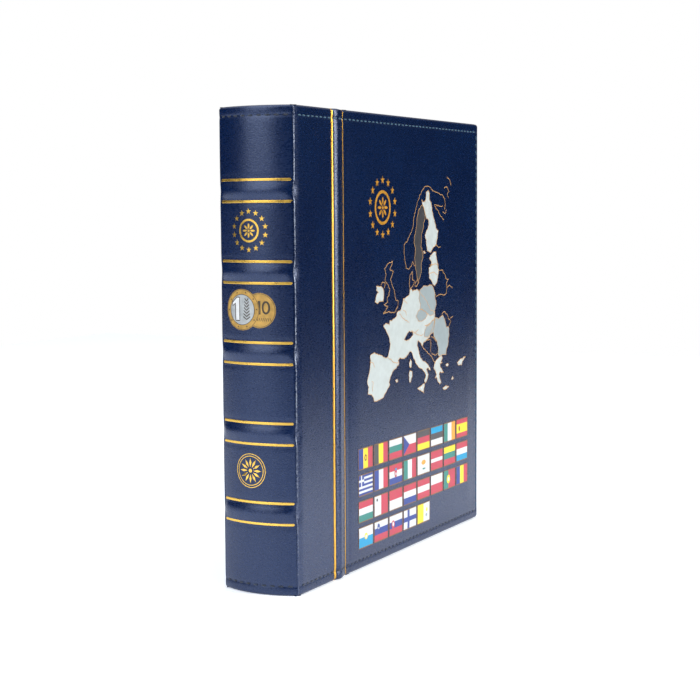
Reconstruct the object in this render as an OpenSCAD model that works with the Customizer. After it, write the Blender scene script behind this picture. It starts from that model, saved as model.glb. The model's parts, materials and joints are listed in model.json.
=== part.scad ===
// Padded four-ring coin album, standing closed on its bottom edge.
// X runs from the spine to the fore edge, Y from the front cover to the back cover, Z up.

/* [Case] */
// Height of the case
case_h = 275; // [250:1:300]
// Width from the spine crease to the fore edge
cover_w = 249.5; // [235:0.5:270]
// Thickness of the closed case
case_t = 50; // [50:0.5:60]
// How far the rounded spine bulges past the creases
bulge = 6.5; // [3:0.5:9]
// Radius of the cover corners at the fore edge
corner_r = 2.5; // [2.5:0.5:8]
// Thickness of a padded cover, lining included
cover_t = 5.4; // [5:0.1:7]
// Thickness of the leather covering
skin_t = 0.8; // [0.6:0.1:1.2]
// Thickness of the inside lining
lining_t = 0.4; // [0.2:0.1:0.8]

/* [Spine bands] */
// Number of raised bands
band_n = 5; // [3:1:7]
// Distance between bands
band_pitch = 45.3; // [35:0.1:50]
// Width of a band
band_w = 11; // [6:0.5:14]
// Height of a band above the spine
band_h = 1; // [0.5:0.1:2]

/* [Hinges] */
// Where the hinge rib starts, from the spine crease
rib_x = 41.5; // [30:0.5:50]
// Width of the hinge rib
rib_w = 13.5; // [8:0.5:16]
// Height of the hinge rib above the cover
rib_h = 1.8; // [1:0.1:2.5]
// Space between two boards for a leather hinge to fold
fold_w = 6; // [6:0.5:8]

/* [Ring mechanism] */
// Number of rings
ring_n = 4; // [2:1:6]
// Distance between rings
ring_pitch = 70; // [40:1:80]
// Radius of a ring to the middle of its wire
ring_r = 15; // [13:0.5:15]
// Thickness of the ring wire
wire_d = 3; // [2.4:0.1:3]
// Length of the mechanism plate
plate_l = 231; // [215:1:240]
// Width of the mechanism plate
plate_w = 26; // [24:0.5:28]

/* [Sheets] */
// Number of coin sheets
sheet_n = 5; // [5:1:5]
// Width of a sheet
sheet_w = 210; // [180:1:212]
// Height of a sheet
sheet_h = 252; // [240:1:256]
// Thickness of a sheet with its card
sheet_t = 1.2; // [1:0.1:1.4]
// Distance between sheets in the closed album
sheet_pitch = 3; // [2:0.1:3.2]
// Width of the punched binding margin
margin_w = 18; // [16:0.5:22]

/* [Hidden] */
$fn = 64;
mid_y = case_t / 2;
mid_z = case_h / 2;
origin_x = (cover_w - bulge - band_h) / 2;

// Rounded spine: an arc through both creases
spine_r = (mid_y * mid_y + bulge * bulge) / (2 * bulge);
spine_cx = spine_r - bulge;
spine_skin_t = 1.2;
spine_board_x = 2;
spine_board_t = 2.4;
spine_board_w = case_t - 2 * (cover_t + 0.3);
flange_reach = 1.3;
crease_x = 1.5 + flange_reach;
spine_in_x = spine_board_x + spine_board_t + lining_t;

// Panels, measured from the crease
strip_x0 = 1.5 + fold_w / 2;
strip_x1 = rib_x + rib_w + 0.5;
cover_x0 = strip_x1 + fold_w;
flange_y = 0.1;
flange_t = 0.8;
board_in = cover_t - lining_t;
pad_t = 2;
rib_r = (rib_w * rib_w / 4 + rib_h * rib_h) / (2 * rib_h);

// Ring mechanism
ring_cx = 23;
wire_r = wire_d / 2;
plate_rise = 7.2;
plate_skin = 0.8;
plate_crown = 11;
plate_top = spine_in_x + plate_rise;
plate_z0 = mid_z - plate_l / 2;
plate_z1 = mid_z + plate_l / 2;
blade_x = 6.6;
blade_t = 0.8;
blade_w = 8.5;
blade_gap = 0.5;
blade_end = 4;
wire_slot = 5;
ring_foot = 172;
pin_r = 1;
pin_run = 0.05;
lever_z = 3.6;
lever_x = 7.6;
lever_w = 10;
lever_l = 12;
lever_t = 1.4;
ear_t = 1.2;
rivet_z = 100;
rivet_head_r = 3;
rivet_r = 1.6;

// Sheets
pocket_t = 0.6;
card_t = 0.5;
slot_w = 7;
slot_l = 12;
hole_in = 8;
sheet_z0 = 12;

navy = [0.10, 0.15, 0.29];
navy_soft = [0.16, 0.21, 0.37];
board_grey = [0.62, 0.58, 0.50];
foam_white = [0.93, 0.92, 0.88];
lining_blue = [0.12, 0.16, 0.28];
steel = [0.74, 0.75, 0.77];
film = [0.85, 0.90, 0.94];
card_blue = [0.14, 0.20, 0.42];

// Moves a shape from crease coordinates, front face at y = 0, to the album's own frame
module placed() {
    translate([-origin_x, -mid_y, 0]) children();
}

// The back of the case is the front of the case mirrored
module mirrored() {
    placed() translate([0, case_t, 0]) mirror([0, 1, 0]) children();
}

// A box given by its lowest and highest corners
module block(low, high) {
    translate(low) cube(high - low);
}

// Outline of a panel in X and Z with both corners rounded at the fore edge
module panel_outline(x0, x1, z0, z1, r) {
    translate([x0, z0]) square([x1 - x0 - r, z1 - z0]);
    translate([x0, z0 + r]) square([x1 - x0, z1 - z0 - 2 * r]);
    translate([x1 - r, z0 + r]) circle(r);
    translate([x1 - r, z1 - r]) circle(r);
}

// The same panel as a slab between two depths
module panel(x0, x1, z0, z1, r, y0, y1) {
    translate([0, y1, 0]) rotate([90, 0, 0])
        linear_extrude(y1 - y0) panel_outline(x0, x1, z0, z1, r);
}

// Outline of the spine between its outer arc and the plane at x_max
module spine_outline(r, x_max, y_in) {
    intersection() {
        translate([spine_cx, mid_y]) circle(r, $fn = 180);
        translate([-2 * bulge, y_in]) square([x_max + 2 * bulge, case_t - 2 * y_in]);
    }
}

// Spine covering: the arc, its turned-in ends and a short flange along each crease
module spine_leather() {
    color(navy) placed() difference() {
        union() {
            linear_extrude(case_h) spine_outline(spine_r, spine_board_x, flange_y);
            block([0, flange_y, 0], [crease_x, flange_y + flange_t, case_h]);
            block([0, case_t - flange_y - flange_t, 0], [crease_x, case_t - flange_y, case_h]);
        }
        translate([0, 0, skin_t]) linear_extrude(case_h - 2 * skin_t)
            spine_outline(spine_r - spine_skin_t, 2 * spine_board_x, flange_y + flange_t);
    }
}

// One raised band: a low rounded strip that follows the spine's arc
module spine_band() {
    half_angle = asin((mid_y - 3) / spine_r);
    translate([spine_cx, mid_y, 0]) rotate([0, 0, 180 - half_angle])
        rotate_extrude(angle = 2 * half_angle, $fn = 180) intersection() {
            translate([spine_r, -band_w / 2]) square([band_h, band_w]);
            translate([spine_r + band_h - band_w, 0]) circle(band_w);
        }
}

module spine_bands() {
    color(navy_soft) placed()
        for (i = [0 : band_n - 1])
            translate([0, 0, mid_z + (i - (band_n - 1) / 2) * band_pitch]) spine_band();
}

module spine_padding() {
    color(foam_white) placed() translate([0, 0, skin_t]) linear_extrude(case_h - 2 * skin_t)
        spine_outline(spine_r - spine_skin_t, spine_board_x, flange_y + flange_t);
}

module spine_board() {
    y0 = (case_t - spine_board_w) / 2;
    color(board_grey) placed() difference() {
        block([spine_board_x, y0, 0.5], [spine_board_x + spine_board_t, case_t - y0, case_h - 0.5]);
        rivet_holes(rivet_r);
    }
}

module spine_lining() {
    y0 = (case_t - spine_board_w) / 2;
    color(lining_blue) placed() difference() {
        block([spine_board_x + spine_board_t, y0, 3], [spine_in_x, case_t - y0, case_h - 3]);
        rivet_holes(rivet_r);
    }
}

// The two rivet holes on the spine's centre line
module rivet_holes(r) {
    for (side = [-1, 1])
        translate([0, mid_y, mid_z + side * rivet_z]) rotate([0, 90, 0])
            cylinder(h = 3 * plate_rise, r = r);
}

// Half outline of the folded plate, grown inwards by a skin
function plate_half(skin) = [
    [spine_in_x - 1, plate_w / 2 - skin],
    [spine_in_x + 2, plate_w / 2 - skin],
    [plate_top - 2.2 - skin, plate_w / 2 - 4],
    [plate_top - skin, plate_crown / 2 - skin]];

function both_halves(half) =
    concat(half, [for (i = [len(half) - 1 : -1 : 0]) [half[i][0], -half[i][1]]]);

// Folded steel plate that holds the blades, with ears for the levers
module mechanism_plate() {
    color(steel) placed() difference() {
        union() {
            translate([0, mid_y, plate_z0]) linear_extrude(plate_l) difference() {
                polygon(both_halves(plate_half(0)));
                polygon(both_halves(plate_half(plate_skin)));
                translate([spine_in_x - 2, -plate_w]) square([2, 2 * plate_w]);
            }
            for (side = [-1, 1])
                translate([0, 0, mid_z + side * rivet_z]) rivet_seat();
            for (side = [-1, 1])
                lever_ears(side);
        }
        for (i = [0 : ring_n - 1])
            for (side = [0, 1])
                translate([0, mid_y + (side ? 2.6 : -plate_w), ring_z(i) - wire_slot / 2])
                    cube([plate_rise * 3, plate_w - 2.6, wire_slot]);
        rivet_holes(rivet_r);
        for (side = [-1, 1])
            lever_bore(side, pin_r);
    }
}

// Post under the plate that a rivet clamps to the spine board
module rivet_seat() {
    translate([spine_in_x, mid_y, 0]) rotate([0, 90, 0])
        cylinder(h = plate_rise - plate_skin, r = rivet_r + 1);
}

module mechanism_rivets() {
    color(steel) placed()
        for (side = [-1, 1])
            translate([0, mid_y, mid_z + side * rivet_z]) rotate([0, 90, 0]) {
                translate([0, 0, spine_board_x]) cylinder(h = plate_top - spine_board_x, r = rivet_r);
                translate([0, 0, plate_top]) cylinder(h = 0.9, r = rivet_head_r);
            }
}

function ring_z(i) = mid_z + (i - (ring_n - 1) / 2) * ring_pitch;
function lever_at(side) = mid_z + side * (plate_l / 2 + lever_z);

// Two ears past one end of the plate, side = 1 at the top
module lever_ears(side) {
    reach = lever_z + pin_r + 1.4;
    z0 = side > 0 ? plate_z1 - 3 : plate_z0 - reach;
    for (y0 = [mid_y - lever_w / 2 - ear_t - 0.3, mid_y + lever_w / 2 + 0.3])
        block([spine_in_x, y0, z0], [plate_top - plate_skin, y0 + ear_t, z0 + reach + 3]);
}

// Bore across the ears and the lever's hub
module lever_bore(side, r) {
    span = lever_w + 2 * ear_t + 0.6;
    translate([lever_x, mid_y + span / 2, lever_at(side)]) rotate([90, 0, 0])
        cylinder(h = span, r = r);
}

module lever_pins() {
    color(steel) placed()
        for (side = [-1, 1])
            lever_bore(side, pin_r);
}

// Finger lever: a hub round its pin and a bent tab
module lever(side) {
    z0 = lever_at(side);
    hub_r = pin_r + 1.2;
    color(steel) placed() difference() {
        union() {
            translate([lever_x, mid_y + lever_w / 2, z0]) rotate([90, 0, 0])
                cylinder(h = lever_w, r = hub_r);
            block([lever_x, mid_y - lever_w / 2, z0 - lever_t / 2],
                [lever_x + lever_l, mid_y + lever_w / 2, z0 + lever_t / 2]);
            translate([lever_x + lever_l, mid_y + lever_w / 2, z0 + side * (2 - lever_t / 2)])
                rotate([90, 0, 0]) cylinder(h = lever_w, r = 2);
        }
        lever_bore(side, pin_r + pin_run);
    }
}

module top_lever() {
    lever(1);
}

module bottom_lever() {
    lever(-1);
}

// Four half rings that stand on the front blade
module half_rings() {
    color(steel) for (i = [0 : ring_n - 1])
        difference() {
            translate([ring_cx, mid_y, ring_z(i)]) rotate([0, 0, -ring_foot])
                rotate_extrude(angle = ring_foot - 0.1, $fn = 120)
                    translate([ring_r, 0]) circle(wire_r, $fn = 32);
            translate([0, 0, ring_z(i) - wire_d])
                cube([blade_x + blade_t, mid_y, 2 * wire_d]);
        }
}

// Long steel blade under the plate
module blade() {
    color(steel) block([blade_x, mid_y - blade_gap - blade_w, plate_z0 + blade_end],
        [blade_x + blade_t, mid_y - blade_gap, plate_z1 - blade_end]);
}

// A blade with the two notches that clear the rivet seats
module notched_blade() {
    difference() {
        blade();
        for (side = [-1, 1])
            translate([0, mid_y, mid_z + side * rivet_z]) rotate([0, 90, 0])
                cylinder(h = 3 * plate_rise, r = rivet_r + 2);
    }
}

module front_ring_halves() {
    placed() half_rings();
}

module front_blade() {
    placed() notched_blade();
}

module back_ring_halves() {
    mirrored() half_rings();
}

module back_blade() {
    mirrored() notched_blade();
}

// Narrow panel between the spine crease and the cover's hinge
module strip_leather() {
    color(navy) {
        difference() {
            block([strip_x0, 0, 0], [strip_x1, cover_t, case_h]);
            block([strip_x0 - 1, skin_t, skin_t],
                [strip_x1 + 1, cover_t + 1, case_h - skin_t]);
        }
        block([strip_x1, flange_y, 0],
            [strip_x1 + fold_w / 2 + flange_reach, flange_y + flange_t, case_h]);
    }
}

module strip_board() {
    color(board_grey) block([strip_x0, skin_t, skin_t], [strip_x1, board_in, case_h - skin_t]);
}

module strip_lining() {
    color(lining_blue) block([strip_x0, board_in, 3], [strip_x1, cover_t, case_h - 3]);
}

// Rounded rib on the strip beside the hinge
module hinge_rib() {
    color(navy_soft) linear_extrude(case_h) intersection() {
        translate([rib_x + rib_w / 2, rib_r - rib_h]) circle(rib_r, $fn = 90);
        translate([rib_x, -rib_h]) square([rib_w, rib_h]);
    }
}

module cover_leather() {
    r_in = corner_r - skin_t;
    color(navy) difference() {
        panel(cover_x0, cover_w, 0, case_h, corner_r, 0, cover_t);
        panel(cover_x0 - 1, cover_w - skin_t, skin_t, case_h - skin_t, r_in, skin_t, cover_t + 1);
    }
}

module cover_padding() {
    color(foam_white) panel(cover_x0, cover_w - skin_t, skin_t, case_h - skin_t,
        corner_r - skin_t, skin_t, skin_t + pad_t);
}

module cover_board() {
    color(board_grey) panel(cover_x0, cover_w - skin_t, skin_t, case_h - skin_t,
        corner_r - skin_t, skin_t + pad_t, board_in);
}

module cover_lining() {
    color(lining_blue) panel(cover_x0, cover_w - 3, 3, case_h - 3, corner_r - 2, board_in, cover_t);
}

module front_strip_leather() {
    placed() strip_leather();
}

module front_strip_board() {
    placed() strip_board();
}

module front_strip_lining() {
    placed() strip_lining();
}

module front_hinge_rib() {
    placed() hinge_rib();
}

module front_cover_leather() {
    placed() cover_leather();
}

module front_cover_padding() {
    placed() cover_padding();
}

module front_cover_board() {
    placed() cover_board();
}

module front_cover_lining() {
    placed() cover_lining();
}

module back_strip_leather() {
    mirrored() strip_leather();
}

module back_strip_board() {
    mirrored() strip_board();
}

module back_strip_lining() {
    mirrored() strip_lining();
}

module back_hinge_rib() {
    mirrored() hinge_rib();
}

module back_cover_leather() {
    mirrored() cover_leather();
}

module back_cover_padding() {
    mirrored() cover_padding();
}

module back_cover_board() {
    mirrored() cover_board();
}

module back_cover_lining() {
    mirrored() cover_lining();
}

// Depth of a sheet's middle plane, and where the ring wire crosses it
function sheet_y(k) = mid_y + (k - (sheet_n + 1) / 2) * sheet_pitch;
function wire_x(k) = ring_cx + sqrt(ring_r * ring_r - (sheet_y(k) - mid_y) * (sheet_y(k) - mid_y));
function sheet_x(k) = wire_x(k) - hole_in;

// Clear pocket sheet with slots for the rings, its pocket open at the top
module sheet_pocket(k) {
    x0 = sheet_x(k);
    y0 = sheet_y(k) - sheet_t / 2;
    weld = 3;
    color(film, 0.5) placed() difference() {
        block([x0, y0, sheet_z0], [x0 + sheet_w, y0 + sheet_t, sheet_z0 + sheet_h]);
        block([x0 + margin_w, sheet_y(k) - pocket_t / 2, sheet_z0 + weld],
            [x0 + sheet_w - weld, sheet_y(k) + pocket_t / 2, sheet_z0 + sheet_h + 1]);
        for (i = [0 : ring_n - 1])
            ring_slot(wire_x(k), sheet_y(k), ring_z(i));
    }
}

// Slot with round ends, longer towards the fore edge
module ring_slot(x, y, z) {
    reach = (slot_l - slot_w);
    translate([x, y + sheet_t, z]) rotate([90, 0, 0]) linear_extrude(2 * sheet_t) {
        circle(slot_w / 2);
        translate([reach, 0]) circle(slot_w / 2);
        translate([0, -slot_w / 2]) square([reach, slot_w]);
    }
}

module sheet_card(k) {
    side = 0.5;
    color(card_blue) placed()
        block([sheet_x(k) + margin_w + side, sheet_y(k) - card_t / 2, sheet_z0 + 3 + side],
            [sheet_x(k) + sheet_w - 3 - side, sheet_y(k) + card_t / 2, sheet_z0 + sheet_h - side]);
}

spine_leather();
spine_bands();
spine_padding();
spine_board();
spine_lining();
mechanism_plate();
mechanism_rivets();
lever_pins();
top_lever();
bottom_lever();
front_ring_halves();
front_blade();
back_ring_halves();
back_blade();
front_strip_leather();
front_strip_board();
front_strip_lining();
front_hinge_rib();
front_cover_leather();
front_cover_padding();
front_cover_board();
front_cover_lining();
back_strip_leather();
back_strip_board();
back_strip_lining();
back_hinge_rib();
back_cover_leather();
back_cover_padding();
back_cover_board();
back_cover_lining();
sheet_pocket(1);  // sheet_1_pocket
sheet_card(1);  // sheet_1_card
sheet_pocket(2);  // sheet_2_pocket
sheet_card(2);  // sheet_2_card
sheet_pocket(3);  // sheet_3_pocket
sheet_card(3);  // sheet_3_card
sheet_pocket(4);  // sheet_4_pocket
sheet_card(4);  // sheet_4_card
sheet_pocket(5);  // sheet_5_pocket
sheet_card(5);  // sheet_5_card
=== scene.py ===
import json
import math

import bmesh
import bpy
from mathutils import Matrix, Vector, noise
from mathutils.geometry import delaunay_2d_cdt


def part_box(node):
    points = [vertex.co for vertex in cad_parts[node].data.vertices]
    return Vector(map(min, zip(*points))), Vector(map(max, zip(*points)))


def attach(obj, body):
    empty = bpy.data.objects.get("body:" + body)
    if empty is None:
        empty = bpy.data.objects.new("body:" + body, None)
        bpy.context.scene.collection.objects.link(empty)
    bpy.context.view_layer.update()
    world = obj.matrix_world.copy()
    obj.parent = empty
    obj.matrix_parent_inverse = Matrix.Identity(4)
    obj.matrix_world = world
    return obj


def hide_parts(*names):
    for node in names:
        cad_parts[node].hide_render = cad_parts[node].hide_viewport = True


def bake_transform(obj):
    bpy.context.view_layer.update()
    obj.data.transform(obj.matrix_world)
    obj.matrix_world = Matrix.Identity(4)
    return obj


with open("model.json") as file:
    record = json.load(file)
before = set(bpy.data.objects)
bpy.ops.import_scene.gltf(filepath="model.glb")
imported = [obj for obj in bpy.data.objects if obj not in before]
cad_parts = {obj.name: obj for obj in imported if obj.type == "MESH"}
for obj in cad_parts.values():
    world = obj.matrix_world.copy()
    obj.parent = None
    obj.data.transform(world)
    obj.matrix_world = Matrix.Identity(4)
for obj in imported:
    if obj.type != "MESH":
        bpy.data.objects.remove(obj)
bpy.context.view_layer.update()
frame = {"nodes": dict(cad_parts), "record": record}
mm = 0.001
print("album: frame loaded")

# All lengths below are millimetres. x runs from the spine crease to the fore edge,
# y from the front cover's face into the album, z up from the shelf.
coverLow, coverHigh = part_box("front_cover_leather")

caseSize = {
    "width": 249.5,      # spine crease to fore edge
    "height": (coverHigh.z - coverLow.z) / mm,
    "bulge": 6.5,        # how far the spine stands past the creases
    "cornerRadius": 2.4,
    "boardDepth": 5.0,   # face of the leather to the back of the board
}
creaseX = coverHigh.x - caseSize["width"] * mm
frontY = coverLow.y
caseHeight = caseSize["height"]
halfThick = -frontY / mm


# x, y, z in mm to the album's own frame; side -1 is the back of the case
def place(x, y, z, side=1):
    return Vector((creaseX + x * mm, side * (frontY + y * mm), z * mm))


def smooth(t):
    t = min(max(t, 0.0), 1.0)
    return t * t * (3 - 2 * t)


def bell(d, width):
    return math.exp(-(d / width) ** 2)


studio = {
    "cameraAt": (-845.7, -451.6, 218.6),
    "heading": 61.52,    # degrees from +Y towards +X
    "pitch": -5.37,
    "roll": -0.36,
    "lens": 78.1,
    "floorColor": (0.86, 0.90, 0.97),
    "tableFront": -0.33,  # metres: the table's edge in front of the album
    "tableBack": 1.2,
    "tableSide": 1.3,
    "floorGlow": 0.31,   # keeps the far end of the table as pale as the air behind it
    "skyFrom": 0.30,     # the air is dim near the horizon and bright overhead
    "skyTo": 0.75,
    "skyLow": 0.010,
    "skyHigh": 1.0,
    # place, aim, size, watts, tint
    "panels": {
        "frontPanel": ((0.35, -1.5, 1.5), (0, 0, 0.1), (1.3, 0.9), 3, (1, 1, 1)),
        "ribPanel": ((0.20, -1.25, 0.62), (-0.08, 0, 0.2), (0.28, 1.5), 20, (1.0, 0.93, 0.82)),
        "spinePanel": ((-1.24, 0.42, 0.86), (-0.12, 0, 0.30), (0.95, 1.4), 11, (1, 1, 1)),
        "topPanel": ((-0.1, 0.2, 1.9), (0, 0, 0), (1.8, 1.8), 11, (1, 1, 1)),
    },
}


def makeCamera():
    data = bpy.data.cameras.new("albumCamera")
    data.lens = studio["lens"]
    data.sensor_width = 36
    data.clip_end = 30
    cam = bpy.data.objects.new("albumCamera", data)
    bpy.context.scene.collection.objects.link(cam)
    a, p, r = (math.radians(studio[k]) for k in ("heading", "pitch", "roll"))
    ahead = Vector((math.sin(a) * math.cos(p), math.cos(a) * math.cos(p), math.sin(p)))
    right = Vector((math.cos(a), -math.sin(a), 0))
    up = right.cross(ahead)
    right, up = (right * math.cos(r) + up * math.sin(r),
                 up * math.cos(r) - right * math.sin(r))
    turn = Matrix((right, up, -ahead)).transposed().to_4x4()
    cam.matrix_world = Matrix.Translation(Vector(studio["cameraAt"]) * mm) @ turn
    bpy.context.scene.camera = cam


def softLight(name, at, target, size, power, color=(1, 1, 1)):
    data = bpy.data.lights.new(name, "AREA")
    data.shape = "RECTANGLE"
    data.size, data.size_y = size
    data.energy = power
    data.color = color
    lamp = bpy.data.objects.new(name, data)
    bpy.context.scene.collection.objects.link(lamp)
    lamp.location = at
    lamp.visible_camera = False
    lamp.rotation_euler = (Vector(target) - Vector(at)).to_track_quat("-Z", "Y").to_euler()


def makeStudio():
    scene = bpy.context.scene
    scene.view_settings.view_transform = "Standard"
    world = bpy.data.worlds.new("studioAir")
    scene.world = world
    world.use_nodes = True
    nodes, links = world.node_tree.nodes, world.node_tree.links
    nodes.clear()
    out = nodes.new("ShaderNodeOutputWorld")
    pick = nodes.new("ShaderNodeMixShader")
    path = nodes.new("ShaderNodeLightPath")
    paper = nodes.new("ShaderNodeBackground")
    sky = nodes.new("ShaderNodeBackground")
    ramp = nodes.new("ShaderNodeValToRGB")
    split = nodes.new("ShaderNodeSeparateXYZ")
    where = nodes.new("ShaderNodeTexCoord")
    links.new(where.outputs["Generated"], split.inputs[0])
    links.new(split.outputs["Z"], ramp.inputs["Fac"])
    low, high = ramp.color_ramp.elements
    low.position, high.position = studio["skyFrom"], studio["skyTo"]
    low.color = (*[studio["skyLow"]] * 3, 1)
    high.color = (*[studio["skyHigh"]] * 3, 1)
    links.new(ramp.outputs["Color"], sky.inputs["Color"])
    paper.inputs["Color"].default_value = (1, 1, 1, 1)
    links.new(path.outputs["Is Camera Ray"], pick.inputs[0])
    links.new(sky.outputs[0], pick.inputs[1])
    links.new(paper.outputs[0], pick.inputs[2])
    links.new(pick.outputs[0], out.inputs[0])
    for name, panel in studio["panels"].items():
        softLight(name, *panel)


# pale table top with a rounded front edge
def makeFloor():
    back, near, side, edge = studio["tableBack"], studio["tableFront"], studio["tableSide"], 0.03
    profile = [(back + (near + edge - back) * i / 12, 0.0) for i in range(13)]
    profile += [(near + edge - edge * math.sin(math.radians(t)), -edge + edge * math.cos(math.radians(t)))
                for t in range(15, 91, 15)]
    bm = bmesh.new()
    rows = [[bm.verts.new((side * (j / 12 - 1), y, z)) for j in range(25)] for y, z in profile]
    for a, b in zip(rows, rows[1:]):
        for j in range(24):
            bm.faces.new((a[j], b[j], b[j + 1], a[j + 1]))
    mesh = bpy.data.meshes.new("studioFloor")
    bm.normal_update()
    bm.to_mesh(mesh)
    bm.free()
    for face in mesh.polygons:
        face.use_smooth = True
    floor = bpy.data.objects.new("studioFloor", mesh)
    bpy.context.scene.collection.objects.link(floor)
    mat, nodes, links, skin = newMaterial("paleFloor")
    skin.inputs["Base Color"].default_value = (*studio["floorColor"], 1)
    skin.inputs["Roughness"].default_value = 0.55
    skin.inputs["Emission Color"].default_value = (*studio["floorColor"], 1)
    skin.inputs["Emission Strength"].default_value = studio["floorGlow"]
    grain = nodes.new("ShaderNodeTexNoise")
    grain.inputs["Scale"].default_value = 900
    bump = nodes.new("ShaderNodeBump")
    bump.inputs["Strength"].default_value = 0.02
    links.new(grain.outputs["Fac"], bump.inputs["Height"])
    links.new(bump.outputs["Normal"], skin.inputs["Normal"])
    mesh.materials.append(mat)


def newMaterial(name):
    mat = bpy.data.materials.new(name)
    mat.use_nodes = True
    nodes, links = mat.node_tree.nodes, mat.node_tree.links
    return mat, nodes, links, nodes["Principled BSDF"]


# a procedural texture in the album's own coordinates
def texture(nodes, links, kind, scale, stretch=(1, 1, 1), detail=2.0, turn=(0, 0, 0)):
    where = nodes.new("ShaderNodeTexCoord")
    mapping = nodes.new("ShaderNodeMapping")
    mapping.inputs["Scale"].default_value = stretch
    mapping.inputs["Rotation"].default_value = turn
    links.new(where.outputs["Object"], mapping.inputs["Vector"])
    tex = nodes.new(kind)
    tex.inputs["Scale"].default_value = scale
    if "Detail" in tex.inputs:
        tex.inputs["Detail"].default_value = detail
    links.new(mapping.outputs["Vector"], tex.inputs["Vector"])
    return tex


def mixColor(nodes, links, factor, a, b):
    mix = nodes.new("ShaderNodeMix")
    mix.data_type = "RGBA"
    for socket, value in ((mix.inputs[6], a), (mix.inputs[7], b)):
        if isinstance(value, tuple):
            socket.default_value = (*value, 1)
        else:
            links.new(value, socket)
    links.new(factor, mix.inputs[0])
    return mix.outputs[2]


def ranged(nodes, links, value, low, high, toLow=0.0, toHigh=1.0):
    span = nodes.new("ShaderNodeMapRange")
    for name, number in (("From Min", low), ("From Max", high),
                         ("To Min", toLow), ("To Max", toHigh)):
        span.inputs[name].default_value = number
    links.new(value, span.inputs["Value"])
    return span.outputs["Result"]


def maths(nodes, links, kind, a, b):
    node = nodes.new("ShaderNodeMath")
    node.operation = kind
    for socket, value in zip(node.inputs, (a, b)):
        if isinstance(value, (int, float)):
            socket.default_value = value
        else:
            links.new(value, socket)
    return node.outputs[0]


# grain and weave as a bump on the skin shader, distance in metres
def addBump(nodes, links, skin, height, strength, distance=0.0002, inward=False):
    bump = nodes.new("ShaderNodeBump")
    bump.inputs["Strength"].default_value = strength
    bump.inputs["Distance"].default_value = distance
    bump.invert = inward
    links.new(height, bump.inputs["Height"])
    links.new(bump.outputs["Normal"], skin.inputs["Normal"])


leatherLook = {
    "dark": (0.0003, 0.0080, 0.045),
    "light": (0.0008, 0.0110, 0.055),
    # pale colour of the wear along the crease, which also paints in the highlight that the rounded fold
    # catches
    "paleRubAndHighlight": (0.26, 0.30, 0.37),
    "sheen": (0.54, 0.66, 1.0),  # tint of the gloss
    "grainScale": 1150,
    "grainDepth": 0.25,
    "roughness": 0.27,
    "gloss": 0.90,
}


def leatherMaterial(name, rubAndHighlightAtCrease=False):
    mat, nodes, links, skin = newMaterial(name)
    cells = texture(nodes, links, "ShaderNodeTexVoronoi", leatherLook["grainScale"], (1, 1, 1.35))
    cells.feature = "SMOOTH_F1"
    cells.inputs["Smoothness"].default_value = 0.35
    creases = texture(nodes, links, "ShaderNodeTexNoise", 520, (1, 1, 2.6), 4, (0, 0.6, 0))
    broad = texture(nodes, links, "ShaderNodeTexNoise", 26, detail=3)
    tone = ranged(nodes, links, broad.outputs["Fac"], 0.35, 0.68)
    color = mixColor(nodes, links, tone, leatherLook["dark"], leatherLook["light"])
    pits = ranged(nodes, links, cells.outputs["Distance"], 0.05, 0.55, 1.06, 0.88)
    shaded = nodes.new("ShaderNodeMix")
    shaded.data_type = "RGBA"
    shaded.blend_type = "MULTIPLY"
    shaded.inputs[0].default_value = 1.0
    links.new(color, shaded.inputs[6])
    links.new(pits, shaded.inputs[7])
    color = shaded.outputs[2]
    rough = ranged(nodes, links, creases.outputs["Fac"], 0.3, 0.7,
                   leatherLook["roughness"] - 0.05, leatherLook["roughness"] + 0.09)
    # painted highlight with some real wear: a pale speckled line along the crease, fading out low down
    if rubAndHighlightAtCrease:
        where = nodes.new("ShaderNodeTexCoord")
        split = nodes.new("ShaderNodeSeparateXYZ")
        links.new(where.outputs["Object"], split.inputs[0])
        wander = texture(nodes, links, "ShaderNodeTexNoise", 45, (0, 0, 1), 3)
        drift = ranged(nodes, links, wander.outputs["Fac"], 0.25, 0.75, -0.0003, 0.0003)
        off = maths(nodes, links, "SUBTRACT", split.outputs["X"], creaseX - 0.00005)
        off = maths(nodes, links, "ABSOLUTE", maths(nodes, links, "ADD", off, drift), 0)
        near = ranged(nodes, links, off, 0.00055, 0.0001)
        specks = texture(nodes, links, "ShaderNodeTexNoise", 480, (1, 1, 1), 5)
        wornAndLit = ranged(nodes, links, specks.outputs["Fac"], 0.42, 0.60)
        litHigherUp = ranged(nodes, links, split.outputs["Z"], 0.02, 0.13, 0.2, 0.85)  # the painted highlight and the wear fade out low down
        wornAndLit = maths(nodes, links, "MULTIPLY", maths(nodes, links, "MULTIPLY", near, wornAndLit), litHigherUp)
        color = mixColor(nodes, links, wornAndLit, color, leatherLook["paleRubAndHighlight"])
    links.new(color, skin.inputs["Base Color"])
    links.new(rough, skin.inputs["Roughness"])
    high = maths(nodes, links, "MULTIPLY", cells.outputs["Distance"], -0.7)
    high = maths(nodes, links, "ADD", high, maths(nodes, links, "MULTIPLY", creases.outputs["Fac"], 0.9))
    addBump(nodes, links, skin, high, leatherLook["grainDepth"], 0.00022)
    skin.inputs["Specular IOR Level"].default_value = leatherLook["gloss"]
    skin.inputs["Specular Tint"].default_value = (*leatherLook["sheen"], 1)
    return mat


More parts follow.
